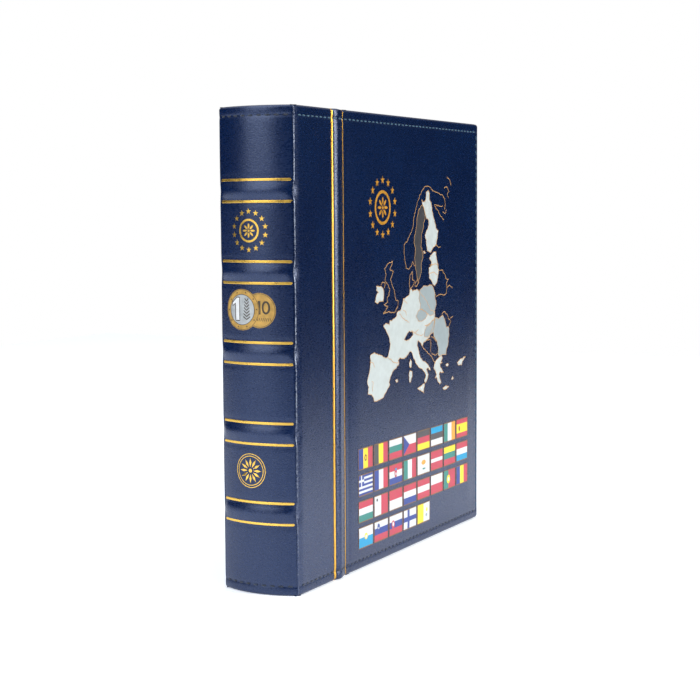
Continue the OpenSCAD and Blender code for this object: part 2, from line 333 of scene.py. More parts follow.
# ink or foil that lets the leather's grain through
def printMaterial(name, color, rough=0.45, metal=0.0, grain=0.25, vary=0.12):
    mat, nodes, links, skin = newMaterial(name)
    spots = texture(nodes, links, "ShaderNodeTexNoise", 300, detail=4)
    tone = ranged(nodes, links, spots.outputs["Fac"], 0.3, 0.7)
    deep = tuple(c * (1 - vary) for c in color)
    links.new(mixColor(nodes, links, tone, deep, color), skin.inputs["Base Color"])
    skin.inputs["Metallic"].default_value = metal
    links.new(ranged(nodes, links, spots.outputs["Fac"], 0.3, 0.7, rough - 0.06, rough + 0.08),
              skin.inputs["Roughness"])
    cells = texture(nodes, links, "ShaderNodeTexVoronoi", leatherLook["grainScale"], (1, 1, 1.35))
    addBump(nodes, links, skin, cells.outputs["Distance"], grain, 0.00015, True)
    return mat


def steelMaterial(name, color=(0.70, 0.71, 0.73), rough=0.22):
    mat, nodes, links, skin = newMaterial(name)
    brushed = texture(nodes, links, "ShaderNodeTexNoise", 500, (1, 1, 0.06), 3)
    tone = ranged(nodes, links, brushed.outputs["Fac"], 0.3, 0.7)
    links.new(mixColor(nodes, links, tone, tuple(c * 0.9 for c in color), color),
              skin.inputs["Base Color"])
    skin.inputs["Metallic"].default_value = 1.0
    links.new(ranged(nodes, links, brushed.outputs["Fac"], 0.3, 0.7, rough - 0.05, rough + 0.10),
              skin.inputs["Roughness"])
    addBump(nodes, links, skin, brushed.outputs["Fac"], 0.05, 0.0001)
    return mat


liningLook = {"weft": (0.012, 0.020, 0.058), "warp": (0.024, 0.038, 0.098), "threads": 900}


# matt paper with a pressed linen texture
def liningMaterial():
    mat, nodes, links, skin = newMaterial("liningPaper")
    warp = texture(nodes, links, "ShaderNodeTexNoise", liningLook["threads"], (1, 1, 0.08), 2)
    weft = texture(nodes, links, "ShaderNodeTexNoise", liningLook["threads"], (0.08, 0.08, 1), 2)
    weave = maths(nodes, links, "MULTIPLY", warp.outputs["Fac"], weft.outputs["Fac"])
    tone = ranged(nodes, links, weave, 0.12, 0.40)
    links.new(mixColor(nodes, links, tone, liningLook["weft"], liningLook["warp"]),
              skin.inputs["Base Color"])
    skin.inputs["Roughness"].default_value = 0.72
    addBump(nodes, links, skin, weave, 0.4)
    return mat


# pressed fibre: grey board, foam or card
def boardMaterial(name, a, b, scale=420):
    mat, nodes, links, skin = newMaterial(name)
    fibre = texture(nodes, links, "ShaderNodeTexNoise", scale, detail=6)
    tone = ranged(nodes, links, fibre.outputs["Fac"], 0.3, 0.7)
    links.new(mixColor(nodes, links, tone, a, b), skin.inputs["Base Color"])
    skin.inputs["Roughness"].default_value = 0.85
    addBump(nodes, links, skin, fibre.outputs["Fac"], 0.3)
    return mat


filmLook = {"tint": (0.93, 0.96, 0.98), "roughness": 0.12, "solid": 0.12}


def filmMaterial():
    mat, nodes, links, skin = newMaterial("clearFilm")
    skin.inputs["Base Color"].default_value = (*filmLook["tint"], 1)
    skin.inputs["Roughness"].default_value = filmLook["roughness"]
    skin.inputs["IOR"].default_value = 1.45
    skin.inputs["Alpha"].default_value = filmLook["solid"]
    ripple = texture(nodes, links, "ShaderNodeTexNoise", 22, (1, 1, 0.5), 2)
    addBump(nodes, links, skin, ripple.outputs["Fac"], 0.10, 0.0015)
    return mat


def threadMaterial(name, a, b):
    mat, nodes, links, skin = newMaterial(name)
    twist = texture(nodes, links, "ShaderNodeTexWave", 900, (1, 0.6, 0.8))
    # the twist's wave paints shade into its valleys and light onto its crowns
    links.new(mixColor(nodes, links, twist.outputs["Fac"], a, b), skin.inputs["Base Color"])
    skin.inputs["Roughness"].default_value = 0.6
    skin.inputs["Sheen Weight"].default_value = 0.2
    addBump(nodes, links, skin, twist.outputs["Fac"], 0.5, 0.0001)
    return mat


makeCamera()
makeStudio()
makeFloor()
print("album: studio ready")

foilLook = {
    "gold": {"color": (0.90, 0.57, 0.11), "rough": 0.30, "metal": 0.90, "grain": 0.0, "vary": 0.05},
    "goldInk": {"color": (0.62, 0.31, 0.04), "rough": 0.36, "metal": 0.15, "grain": 0.2, "vary": 0.3},
    "coverGold": {"color": (0.66, 0.38, 0.065), "rough": 0.33, "metal": 0.90, "grain": 0.0, "vary": 0.08},
    "silver": {"color": (0.50, 0.54, 0.56), "rough": 0.36, "metal": 0.2, "grain": 0.15, "vary": 0.3},
}
threadLook = {  # valleys and crowns of the twist, with painted shade in the valleys and painted light on the crowns
    "navy": ((0.001, 0.004, 0.014), (0.006, 0.022, 0.055)),
    # the same dark thread made lighter, with its highlight painted in
    "highlitTeal": ((0.010, 0.050, 0.10), (0.045, 0.16, 0.27)),
}

leather = leatherMaterial("navyLeather")
# the strip's leather carries the painted highlight and wear along the crease
creaseLeather = leatherMaterial("wornHighlitNavyLeather", True)
gold = printMaterial("goldFoil", **foilLook["gold"])
goldInk = printMaterial("goldInk", **foilLook["goldInk"])
coverGold = printMaterial("coverGoldFoil", **foilLook["coverGold"])
silver = printMaterial("silverInk", **foilLook["silver"])
thread = threadMaterial("navyThread", *threadLook["navy"])
highlitThread = threadMaterial("highlitThread", *threadLook["highlitTeal"])
lining = liningMaterial()
cardboard = boardMaterial("greyBoard", (0.24, 0.20, 0.15), (0.38, 0.33, 0.26))
foam = boardMaterial("paddingFoam", (0.80, 0.79, 0.74), (0.90, 0.89, 0.85), 900)
steel = steelMaterial("nickelPlate")
ringSteel = steelMaterial("nickelWire", (0.78, 0.79, 0.80), 0.14)
film = filmMaterial()
pageCard = boardMaterial("navyCard", (0.010, 0.020, 0.085), (0.016, 0.032, 0.120), 500)


rib = {"from": 41.5, "width": 13.5, "height": 1.8, "hinge": 58.5, "crown": 0.34}
# radii of the turned-in leather
turnIn = {"coverEnds": 1.7, "foreEdge": 2.1, "spineEnds": 1.6, "lining": 1.2,
          "insideEnds": 1.3, "insideFore": 1.4}
padding = {"swell": 0.38, "fromEnds": 4, "fromFore": 3, "fromRib": 59, "slope": 16, "ribSlope": 14}
# depth and half width of the pressed lines
grooves = {"outerLine": (0.30, 1.0), "innerLine": (0.35, 1.1), "hinge": (0.22, 2.6), "bandLine": (0.30, 1.0)}
wave = {"broad": 0.10, "fine": 0.018, "spine": 0.14}  # unevenness of the leather over its board
seam = {"fromEdge": 5.5, "fromForeEdge": 3.2, "pitch": 5.0, "pull": 0.36}
bands = {"count": 5, "pitch": 45.3, "height": 1.25, "halfWidth": 5.6, "lineAt": 6.0}
bandAt = [caseHeight / 2 + (i - (bands["count"] - 1) / 2) * bands["pitch"]
          for i in range(bands["count"])]
spineRadius = (halfThick ** 2 + caseSize["bulge"] ** 2) / (2 * caseSize["bulge"])
spineCentre = spineRadius - caseSize["bulge"]
shoulderAngle = math.asin(halfThick / spineRadius)
spineLength = 2 * spineRadius * shoulderAngle


# a pressed line at d from its centre
def groove(name, d):
    depth, width = grooves[name]
    return depth * bell(d, width)


# x of the cover's outline at height z: straight, with rounded corners
def foreEdge(z):
    r = caseSize["cornerRadius"]
    d = min(z, caseHeight - z)
    if d >= r:
        return caseSize["width"]
    return caseSize["width"] - r + math.sqrt(max(r * r - (r - d) ** 2, 0))


# how far a rounded edge falls back at d from the edge
def rollOff(d, r):
    if d >= r:
        return 0.0
    return r - math.sqrt(max(r * r - (r - max(d, 0)) ** 2, 0))


# how far the leather stands out of the cover's plane at (x, z)
def coverHeight(x, z, side=1):
    ends = min(z, caseHeight - z)
    edge = foreEdge(z) - x
    h = -rollOff(ends, turnIn["coverEnds"]) - rollOff(edge, turnIn["foreEdge"])
    across = (x - rib["from"]) / rib["width"]
    crown = rib["crown"]
    if 0 < across < crown:  # an even slope up to the crown, then a long soft fall
        h += rib["height"] * (1 - (1 - across / crown) ** 1.35)
    elif crown <= across < 1:
        h += rib["height"] * (0.5 + 0.5 * math.cos(math.pi * (across - crown) / (1 - crown)))
    h -= groove("outerLine", x - rib["from"]) + groove("innerLine", x - rib["from"] - rib["width"])
    h -= groove("hinge", x - rib["hinge"])
    h -= seam["pull"] * bell(ends - seam["fromEdge"], 1.1) * smooth((edge - 2) / 3)
    h -= seam["pull"] * bell(edge - seam["fromForeEdge"], 1.0) * smooth((ends - 3) / 3)
    slope = padding["slope"]
    pad = smooth((ends - padding["fromEnds"]) / slope) * smooth((edge - padding["fromFore"]) / slope)
    h += padding["swell"] * pad * smooth((x - padding["fromRib"]) / padding["ribSlope"])
    lift = noise.noise(Vector((x / 38, z / 52, 7.3 * side))) * wave["broad"]
    lift += noise.noise(Vector((x / 9, z / 12, 2.1 * side))) * wave["fine"]
    return h + lift * smooth((ends - 1.5) / 4) * smooth((edge - 1.5) / 4)


def coverPoint(x, z, lift=0.0, side=1):
    return place(x, -(coverHeight(x, z, side) + lift), z, side)


# raised bands and pressed line grooves at arc length s, height z
def bandHeight(s, z):
    h = 0.0
    fromCrease = min(s, spineLength - s)
    fade = 0.30 + 0.70 * smooth(fromCrease / 9)
    for at in bandAt:
        d = abs(z - at)
        if d < bands["halfWidth"]:
            h += bands["height"] * fade * math.cos(d / bands["halfWidth"] * math.pi / 2) ** 1.6
        h -= groove("bandLine", d - bands["lineAt"]) * smooth((fromCrease - 1.0) / 1.5)
    return h


def spineHeight(s, z):
    ends = min(z, caseHeight - z)
    h = bandHeight(s, z) - rollOff(ends, turnIn["spineEnds"])
    h -= seam["pull"] * bell(ends - seam["fromEdge"], 1.1)
    lift = noise.noise(Vector((s / 20, z / 30, 4.4))) * wave["spine"]
    return h + lift * smooth((ends - 1.5) / 4)


# a point on the rounded spine, s millimetres along the arc from the front crease
def spinePoint(s, z, lift=0.0):
    a = -shoulderAngle + s / spineRadius
    r = spineRadius + spineHeight(s, z) + lift
    return place(spineCentre - r * math.cos(a), halfThick + r * math.sin(a), z)


# even steps from low to high, with extra fine stretches (from, to, step)
def steps(low, high, size, fine=()):
    marks = {round(low, 4), round(high, 4)}
    n = max(int(round((high - low) / size)), 1)
    marks.update(round(low + (high - low) * i / n, 4) for i in range(n + 1))
    for a, b, s in fine:
        marks = {m for m in marks if not a < m < b or m in (low, high)}
        k = max(int(round((b - a) / s)), 1)
        marks.update(round(a + (b - a) * i / k, 4) for i in range(k + 1))
    ordered = sorted(marks)
    kept = [ordered[0]]
    for m in ordered[1:]:
        if m - kept[-1] > 0.08:
            kept.append(m)
    kept[-1] = ordered[-1]
    return kept


def finishMesh(name, bm, material, crispFrom=None):
    bmesh.ops.recalc_face_normals(bm, faces=bm.faces)
    mesh = bpy.data.meshes.new(name)
    bm.to_mesh(mesh)
    bm.free()
    for face in mesh.polygons:
        face.use_smooth = True
    if crispFrom:
        mesh.set_sharp_from_angle(angle=math.radians(crispFrom))
    mesh.materials.append(material)
    piece = bpy.data.objects.new(name, mesh)
    bpy.context.scene.collection.objects.link(piece)
    return piece


# a closed panel: an outer and an inner surface over the same grid, joined round the edge
def closedSlab(name, us, vs, outer, inner, material):
    bm = bmesh.new()
    top = [[bm.verts.new(outer(u, v)) for v in vs] for u in us]
    low = [[bm.verts.new(inner(u, v)) for v in vs] for u in us]
    nu, nv = len(us), len(vs)
    for i in range(nu - 1):
        for j in range(nv - 1):
            bm.faces.new((top[i][j], top[i + 1][j], top[i + 1][j + 1], top[i][j + 1]))
            bm.faces.new((low[i][j], low[i][j + 1], low[i + 1][j + 1], low[i + 1][j]))
    for i in range(nu - 1):
        for j in (0, nv - 1):
            bm.faces.new((top[i][j], top[i + 1][j], low[i + 1][j], low[i][j]))
    for j in range(nv - 1):
        for i in (0, nu - 1):
            bm.faces.new((top[i][j], top[i][j + 1], low[i][j + 1], low[i][j]))
    return finishMesh(name, bm, material)


def insideRing(ring, x, z):
    inside = False
    for (x1, z1), (x2, z2) in zip(ring, ring[1:] + ring[:1]):
        if (z1 > z) != (z2 > z) and x < (x2 - x1) * (z - z1) / (z2 - z1) + x1:
            inside = not inside
    return inside


# the outline with extra points where its sides are long
def closeRing(ring, step):
    points = []
    for a, b in zip(ring, ring[1:] + ring[:1]):
        n = max(int(math.dist(a, b) / step), 1)
        points += [(a[0] + (b[0] - a[0]) * i / n, a[1] + (b[1] - a[1]) * i / n) for i in range(n)]
    return points


# a foil collects flat shapes of one ink or leaf and lays them on a curved surface
def newFoil(name, surface, material, thick=0.05):
    return {"name": name, "surface": surface, "material": material, "thick": thick, "bm": bmesh.new()}


# points and faces become a thin closed leaf, lift millimetres above the surface
def layFoil(foil, points, faces, lift):
    counts = {}
    for f in faces:
        for a, b in zip(f, f[1:] + f[:1]):
            counts[(a, b)] = counts.get((a, b), 0) + 1
    top = [foil["bm"].verts.new(foil["surface"](x, z, lift + foil["thick"])) for x, z in points]
    low = [foil["bm"].verts.new(foil["surface"](x, z, lift)) for x, z in points]
    for f in faces:
        foil["bm"].faces.new([top[i] for i in f])
        foil["bm"].faces.new([low[i] for i in reversed(f)])
    for (a, b) in counts:
        if (b, a) not in counts:
            foil["bm"].faces.new((top[b], top[a], low[a], low[b]))


# a filled outline, with grid points inside so that it follows the leather
def fillFoil(foil, outline, lift=0.04, holes=(), grid=3.0):
    rings = [closeRing(list(outline), grid)] + [closeRing(list(h), grid) for h in holes]
    points, edges = [], []
    for ring in rings:
        start = len(points)
        points += ring
        edges += [(start + i, start + (i + 1) % len(ring)) for i in range(len(ring))]
    xs, zs = [p[0] for p in rings[0]], [p[1] for p in rings[0]]
    x = min(xs) + grid / 2
    while x < max(xs):
        z = min(zs) + grid / 2
        while z < max(zs):
            clear = min(math.dist((x, z), p) for p in points) > grid * 0.4
            if clear and insideRing(rings[0], x, z):
                points.append((x, z))
            z += grid
        x += grid
    out = delaunay_2d_cdt([Vector(p) for p in points], edges, [], 0, 1e-5)
    verts, faces = [tuple(v) for v in out[0]], []
    for f in out[2]:
        cx = sum(verts[i][0] for i in f) / len(f)
        cz = sum(verts[i][1] for i in f) / len(f)
        if insideRing(rings[0], cx, cz) and not any(insideRing(h, cx, cz) for h in rings[1:]):
            faces.append(list(f))
    used = sorted({i for f in faces for i in f})
    order = {old: new for new, old in enumerate(used)}
    layFoil(foil, [verts[i] for i in used], [[order[i] for i in f] for f in faces], lift)


# a ribbon of even width along a path
def strokeFoil(foil, path, width, lift=0.08, closed=False, step=2.0):
    if closed:
        pts = closeRing(path, step)
    else:
        pts = []
        for a, b in zip(path, path[1:]):
            n = max(int(math.dist(a, b) / step), 1)
            pts += [(a[0] + (b[0] - a[0]) * i / n, a[1] + (b[1] - a[1]) * i / n)
                    for i in range(n)]
        pts.append(path[-1])
    n = len(pts)
    points = []
    for i, (x, z) in enumerate(pts):
        before = pts[i - 1] if i or closed else pts[i]
        after = pts[(i + 1) % n] if i < n - 1 or closed else pts[i]
        dx, dz = after[0] - before[0], after[1] - before[1]
        size = math.hypot(dx, dz) or 1
        nx, nz = -dz / size * width / 2, dx / size * width / 2
        points += [(x + nx, z + nz), (x - nx, z - nz)]
    faces = []
    for i in range(n if closed else n - 1):
        a, b = 2 * i, 2 * ((i + 1) % n)
        faces.append([a, a + 1, b + 1, b])
    layFoil(foil, points, faces, lift)


def finishFoil(foil, body):
    if not foil["bm"].verts:
        return
    piece = finishMesh(foil["name"], foil["bm"], foil["material"], 50)
    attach(piece, body)


# where the leather bends, in mm from the crease: at the spine and beside the rib
skinDepth = {"strip": 1.7, "cover": 2.0}  # leather alone, where no board backs it
creaseLine = {"tuck": 0.35, "wander": 0.30, "notch": 1.1, "round": 0.7, "roundOver": 6.0,
              "foldFrom": 0.8, "foldTo": -0.9, "depth": 0.42, "onArc": 1.2}


# the fold line wanders a little
def creaseShift(z):
    drift = noise.noise(Vector((0.3, z / 16, 9.1))) + 0.4 * noise.noise(Vector((0.7, z / 5, 3.3)))
    return drift * creaseLine["wander"]


# at each raised band the fold is pinched in towards the spine
def creaseNotch(z):
    return creaseLine["notch"] * sum(bell(z - at, 3.6) for at in bandAt)


# how far the strip's face falls back as it rounds over into the spine
def creaseRound(x, z):
    over = creaseLine["roundOver"]
    if x >= over:
        return 0.0
    return (creaseLine["round"] + 0.7 * creaseNotch(z)) * ((over - x) / over) ** 2.0


# x and depth of the rounded fold: t 0 on the strip's face, 1 on the spine's arc
def foldPoint(t, z):
    face = (creaseLine["foldFrom"], creaseRound(creaseLine["foldFrom"], z))
    a = -shoulderAngle + creaseLine["onArc"] / spineRadius
    r = spineRadius + spineHeight(creaseLine["onArc"], z) + 0.06
    arc = (spineCentre - r * math.cos(a), halfThick + r * math.sin(a) + creaseNotch(z) * 0.7)
    corner = (0.05 + creaseShift(z), creaseLine["depth"] + creaseNotch(z))
    return tuple((1 - t) ** 2 * p + 2 * t * (1 - t) * c + t * t * q
                 for p, c, q in zip(face, corner, arc))


# rows up the leather, finer at both ends where the edge rolls in and the seam runs
def leatherRows(endRows):
    top = [(caseHeight - b, caseHeight - a, s) for a, b, s in endRows]
    return steps(0, caseHeight, 2.4, endRows + top)


zRows = leatherRows([(0, 1.8, 0.3), (4.2, 6.8, 0.45)])


# depth of the inside face: thin leather at the folds, board between them
def stripInnerDepth(x):
    return skinDepth["strip"] + (caseSize["boardDepth"] - skinDepth["strip"]) * smooth((x - 3.0) / 1.6)


def coverInnerDepth(x):
    thin = smooth((x - 55.3) / 1.2) * (1 - smooth((x - 60.6) / 1.2))
    return caseSize["boardDepth"] - thin * (caseSize["boardDepth"] - skinDepth["cover"])


def makeStrip(side, label):
    start, stop = creaseLine["foldFrom"], creaseLine["foldTo"]

    def outer(x, z):
        if x >= start:
            return coverPoint(x, z, -creaseRound(x, z), side)
        fx, fy = foldPoint((start - x) / (start - stop), z)
        return place(fx, fy + rollOff(min(z, caseHeight - z), turnIn["coverEnds"]), z, side)

    def inner(x, z):
        back = rollOff(min(z, caseHeight - z), turnIn["lining"])
        if x >= start:
            return place(x, max(stripInnerDepth(x), creaseRound(x, z) + 1.2) - back, z, side)
        t = (start - x) / (start - stop)
        fx, fy = foldPoint(t, z)
        return place(fx + 0.6 * t, fy + 1.2 - 0.9 * t, z, side)

    xs = steps(stop, rib["from"], 2.2,
               [(stop, start, 0.17), (start, 6, 0.4), (rib["from"] - 2, rib["from"], 0.35)])
    piece = closedSlab(label + "StripLeather", xs, zRows, outer, inner, creaseLeather)
    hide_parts(label + "_strip_leather")
    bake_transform(piece)


cornerFrom = 240  # columns beyond this x follow the rounded corners


def makeCover(side, label):
    def across(u, z):
        reach = foreEdge(z)
        if u <= cornerFrom:
            return u
        return cornerFrom + (u - cornerFrom) * (reach - cornerFrom) / (caseSize["width"] - cornerFrom)

    def outer(u, z):
        return coverPoint(across(u, z), z, 0, side)

    def inner(u, z):
        x = across(u, z)
        ends = min(z, caseHeight - z)
        depth = coverInnerDepth(x) - rollOff(ends, turnIn["insideEnds"])
        return place(x, depth - rollOff(foreEdge(z) - x, turnIn["insideFore"]), z, side)

    start, stop = rib["from"], caseSize["width"]
    xs = steps(start, stop, 2.4,
               [(start, start + 2, 0.35), (start + 2, 53, 0.9), (53, 62.5, 0.5),
                (stop - 5.5, stop - 2.3, 0.4), (stop - 2.3, stop, 0.26)])
    rows = leatherRows([(0, 1.8, 0.3), (1.8, 7.0, 0.45)])
    piece = closedSlab(label + "CoverLeather", xs, rows, outer, inner, leather)
    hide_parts(label + "_cover_leather", label + "_cover_padding", label + "_hinge_rib")
    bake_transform(piece)


spineEdge = {"from": 0.7, "fine": 6, "boardAt": 5.7}  # along the arc, and the board's depth below the face


def makeSpine():
    first, last, fine = spineEdge["from"], spineLength - spineEdge["from"], spineEdge["fine"]
    arc = steps(first, last, 1.3, [(first, fine, 0.4), (spineLength - fine, last, 0.4)])
    count = len(arc)
    boardX = (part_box("spine_board")[1].x - creaseX) / mm
    boardAt = spineEdge["boardAt"]
    # x and depth of the inside from the fold in to the board's edge
    corner = [(0.1, 1.7), (0.3, 2.3), (0.8, 3.0), (1.5, 3.8), (2.3, 4.5), (3.4, 5.1), (boardX, boardAt)]

    def outer(i, z):
        s = arc[i]
        fromFold = min(s, spineLength - s)
        side = 1 if s < spineLength / 2 else -1
        pinch = 0.7 * creaseNotch(z) * smooth((5 - fromFold) / 3.4)
        under = creaseLine["tuck"] * smooth((1.7 - fromFold) / 0.7)
        return spinePoint(s, z, -under) + Vector((0, side * pinch * mm, 0))

    def inner(i, z):
        side = 1 if i < count / 2 else -1
        d = min(i, count - 1 - i)
        if d < len(corner):
            x, y = corner[d]
        else:
            x = boardX
            share = (d - len(corner) + 1) / ((count - 1) / 2 - len(corner) + 1)
            y = boardAt + (halfThick - boardAt) * share
        return place(x - rollOff(min(z, caseHeight - z), turnIn["lining"]), y, z, side)

    piece = closedSlab("spineLeather", list(range(count)), zRows, outer, inner, leather)
    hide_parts("spine_leather", "spine_bands", "spine_padding", "spine_board")
    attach(piece, "spine")


makeSpine()
for side, label in ((1, "front"), (-1, "back")):
    makeStrip(side, label)
    makeCover(side, label)
print("album: leather made")


stitch = {"long": 3.0, "thick": 0.95, "rise": 0.16,
          "spineFrom": 2.6, "stripFrom": 3.0, "coverFrom": 41.2, "cornerGap": 1.5}


# one thread stitch: a low rounded bead between two needle holes
def addStitch(bm, surface, a, b):
    rings, sides = 7, 8
    length = math.dist(a, b)
    dx, dz = (b[0] - a[0]) / length, (b[1] - a[1]) / length
    loops = []
    for i in range(rings):
        t = i / (rings - 1)
        x, z = a[0] + (b[0] - a[0]) * t, a[1] + (b[1] - a[1]) * t
        swell = math.sin(math.pi * (0.08 + 0.84 * t)) ** 0.6
        loop = []
        for k in range(sides):
            angle = 2 * math.pi * k / sides
            wide = math.cos(angle) * stitch["thick"] / 2 * swell
            high = math.sin(angle) * stitch["thick"] * 0.45 * swell + stitch["rise"] * swell - 0.1
            loop.append(bm.verts.new(surface(x - dz * wide, z + dx * wide, high)))
        loops.append(loop)
    for p, q in zip(loops, loops[1:]):
        for k in range(sides):
            bm.faces.new((p[k], p[(k + 1) % sides], q[(k + 1) % sides], q[k]))
    bm.faces.new(list(reversed(loops[0])))
    bm.faces.new(loops[-1])


def stitchRow(bm, surface, a, b):
    length = math.dist(a, b)
    n = max(int(round(length / seam["pitch"])), 1)
    pitch = length / n
    ux, uz = (b[0] - a[0]) / length, (b[1] - a[1]) / length
    for i in range(n):
        s = (i + 0.5) * pitch - stitch["long"] / 2
        e = s + stitch["long"]
        addStitch(bm, surface, (a[0] + ux * s, a[1] + uz * s), (a[0] + ux * e, a[1] + uz * e))


def sewRow(name, surface, material, a, b):
    bm = bmesh.new()
    stitchRow(bm, surface, a, b)
    piece = finishMesh(name, bm, material)
    return piece


def makeStitching():
    low, high = seam["fromEdge"], caseHeight - seam["fromEdge"]
    foreX = caseSize["width"] - seam["fromForeEdge"]
    spineFrom, stripFrom, coverFrom = stitch["spineFrom"], stitch["stripFrom"], stitch["coverFrom"]
    gap = stitch["cornerGap"]
    for z, name in ((low, "Lower"), (high, "Upper")):
        piece = sewRow("spine" + name + "Stitches", spinePoint, thread,
                       (spineFrom, z), (spineLength - spineFrom, z))
        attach(piece, "spine")
    for side, label in ((1, "front"), (-1, "back")):
        def face(x, z, lift=0.0, side=side):
            return coverPoint(x, z, lift, side)

        # the upper rows use the thread with the painted highlight, the lower rows the plain dark thread
        for z, name, mat in ((low, "Lower", thread), (high, "Upper", highlitThread)):
            piece = sewRow(label + "Strip" + name + "Stitches", face, mat, (stripFrom, z), (coverFrom, z))
            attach(piece, label + "_strip")
            piece = sewRow(label + "Cover" + name + "Stitches", face, mat, (coverFrom, z), (foreX - gap, z))
            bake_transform(piece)
        # the fore edge row uses the thread with the painted highlight
        piece = sewRow(label + "ForeEdgeStitches", face, highlitThread,
                       (foreX, low + gap), (foreX, high - gap))
        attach(piece, label + "_cover")


makeStitching()
print("album: stitching made")


# a domed foil line: centre(t, offset, lift) gives its points, t from 0 to 1
def foilRibbon(name, body, material, centre, across, count, width, dome):
    bm = bmesh.new()
    rows = []
    for i in range(count):
        t = i / (count - 1)
        row = []
        for k in range(across):
            o = -1 + 2 * k / (across - 1)
            lift = 0.03 + dome * math.sqrt(max(1 - o * o, 0))
            row.append(bm.verts.new(centre(t, o * width / 2, lift)))
        row.append(bm.verts.new(centre(t, 0, -0.15)))
        rows.append(row)
    n = across + 1
    for a, b in zip(rows, rows[1:]):
        for k in range(n):
            bm.faces.new((a[k], a[(k + 1) % n], b[(k + 1) % n], b[k]))
    bm.faces.new(list(reversed(rows[0])))
    bm.faces.new(rows[-1])
    piece = finishMesh(name, bm, material)
    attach(piece, body)


goldLine = {"main": 1.7, "thin": 0.85, "dome": 0.22, "spine": 1.55, "endGap": 0.15, "spineGap": 2.2}


def makeGoldLines():
    for side, label in ((1, "front"), (-1, "back")):
        for x, width, name in ((rib["from"], goldLine["main"], "Outer"),
                               (rib["from"] + rib["width"], goldLine["thin"], "Inner")):
            def along(t, o, lift, x=x, side=side):
                z = goldLine["endGap"] + (caseHeight - 2 * goldLine["endGap"]) * t
                return coverPoint(x + o, z, lift, side)

            foilRibbon(label + "Strip" + name + "GoldLine", label + "_strip", coverGold, along,
                       across=7, count=220, width=width, dome=goldLine["dome"])
    number = 0
    for at in bandAt:
        for shift in (-bands["lineAt"], bands["lineAt"]):
            number += 1

            def along(t, o, lift, z=at + shift):
                length = spineLength - 2 * goldLine["spineGap"]
                s = goldLine["spineGap"] + length * t
                end = min(t, 1 - t) * length
                r = goldLine["spine"] / 2
                taper = math.sqrt(max(1 - (1 - min(end / r, 1)) ** 2, 0.0)) if end < r else 1
                high = lift * max(taper, 0.3) if lift > 0 else lift
                return spinePoint(s, z + o * max(taper, 0.05), high)

            foilRibbon("spineGoldLine" + str(number), "spine", gold, along,
                       across=7, count=90, width=goldLine["spine"], dome=goldLine["dome"])


makeGoldLines()
print("album: gold lines made")


def starOutline(x, z, r, inner=0.40, points=5, turn=90):
    return [(x + (r if k % 2 == 0 else r * inner) * math.cos(math.radians(turn + 180 * k / points)),
             z + (r if k % 2 == 0 else r * inner) * math.sin(math.radians(turn + 180 * k / points)))
            for k in range(2 * points)]


def circle(x, z, r, n=40, stretch=1.0):
    return [(x + r * stretch * math.cos(2 * math.pi * k / n), z + r * math.sin(2 * math.pi * k / n))
            for k in range(n)]


def box2(x0, z0, x1, z1):
    return [(x0, z0), (x1, z0), (x1, z1), (x0, z1)]


def frontFace(x, z, lift=0.0):
    return coverPoint(x, z, lift, 1)


starRing = {"x": 103.8, "z": 218.3, "radius": 16.7, "stars": 14, "star": 2.6, "flower": 9.6}


# plain coin sign: a ring round an eight-petal flower
def rosette(foil, x, z, size, stretch=1.0, lift=0.05):
    strokeFoil(foil, circle(x, z, size, 90, stretch), size * 0.19, lift, True, 3)
    for k in range(8):
        a = math.radians(45 * k)
        petal = []
        for q in range(14):
            b = 2 * math.pi * q / 14
            along = size * (0.43 + 0.24 * math.cos(b))
            wide = size * 0.095 * math.sin(b)
            petal.append((x + stretch * (along * math.cos(a) - wide * math.sin(a)),
                          z + along * math.sin(a) + wide * math.cos(a)))
        fillFoil(foil, petal, lift, grid=2.5)
    fillFoil(foil, circle(x, z, size * 0.12, 16, stretch), lift, grid=2.5)


# a ring of stars round the flower, centred at x
def starsAndFlower(foil, ring, x, grid):
    for k in range(ring["stars"]):
        a = math.radians(90 + 360 * k / ring["stars"])
        star = starOutline(x + ring["radius"] * math.cos(a), ring["z"] + ring["radius"] * math.sin(a),
                           ring["star"])
        fillFoil(foil, star, grid=grid)
    rosette(foil, x, ring["z"], ring["flower"])


def makeStarRing():
    foil = newFoil("coverStarRing", frontFace, goldInk, 0.10)
    starsAndFlower(foil, starRing, starRing["x"], 3.0)
    finishFoil(foil, "front_cover")


inks = {
    "white": (0.66, 0.71, 0.76), "shore": (0.50, 0.575, 0.60),
    "red": (0.50, 0.050, 0.090), "yellow": (0.90, 0.70, 0.03),
    "blue": (0.024, 0.058, 0.30), "green": (0.03, 0.23, 0.21), "sky": (0.004, 0.31, 0.60),
    "black": (0.070, 0.070, 0.082), "orange": (0.86, 0.36, 0.05), "paleBlue": (0.30, 0.37, 0.41),
    "slate": (0.045, 0.048, 0.058), "rim": (0.62, 0.36, 0.15), "brown": (0.20, 0.11, 0.05),
}
inkSheets = {}


def ink(color):
    if color not in inkSheets:
        mat = printMaterial(color + "Ink", inks[color], 0.42)
        inkSheets[color] = newFoil("cover" + color[0].upper() + color[1:] + "Ink", frontFace, mat)
    return inkSheets[color]


